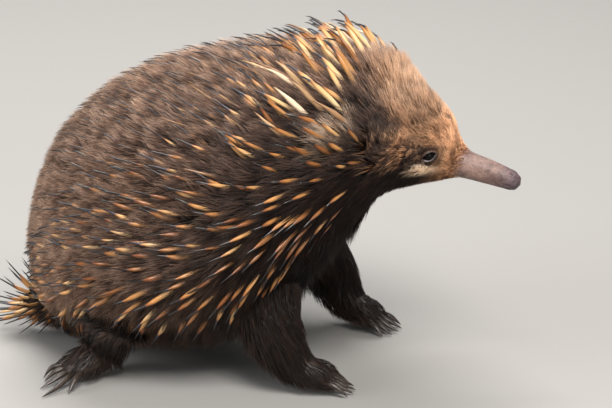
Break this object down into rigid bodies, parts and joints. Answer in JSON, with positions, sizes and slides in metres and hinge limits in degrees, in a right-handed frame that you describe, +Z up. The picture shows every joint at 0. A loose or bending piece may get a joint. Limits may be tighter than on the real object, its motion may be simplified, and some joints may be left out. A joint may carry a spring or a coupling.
{
  "type": "short-beaked echidna",
  "caption": "Life-size still model of a long-furred short-beaked echidna, standing with its beak held out, for display.",
  "frame": {"origin": "on the floor, under the middle of the animal's box", "axes": "+X towards the beak, +Y to the animal's left, +Z up"},
  "size_m": [0.3818, 0.2628, 0.2442],
  "materials": {
    "coat": "long soft brown fur with cream spines",
    "face": "short sandy brown fur",
    "beak_skin": "bare greyish brown skin, slightly moist",
    "eye": "wet black",
    "paw": "dark skin under short fur, with horny claws",
    "spine": "smooth horn, cream with dark tips",
    "claw": "dark horn"
  },
  "bodies": {
    "root": {"torso": "coat", "head": "face", "beak": "beak_skin", "eye_left": "eye", "eye_right": "eye", "ear_left": "face", "ear_right": "face", "foreleg_left": "paw", "foreleg_right": "paw", "hindleg_left": "paw", "hindleg_right": "paw", "tail": "coat"}
  },
  "joints": []
}
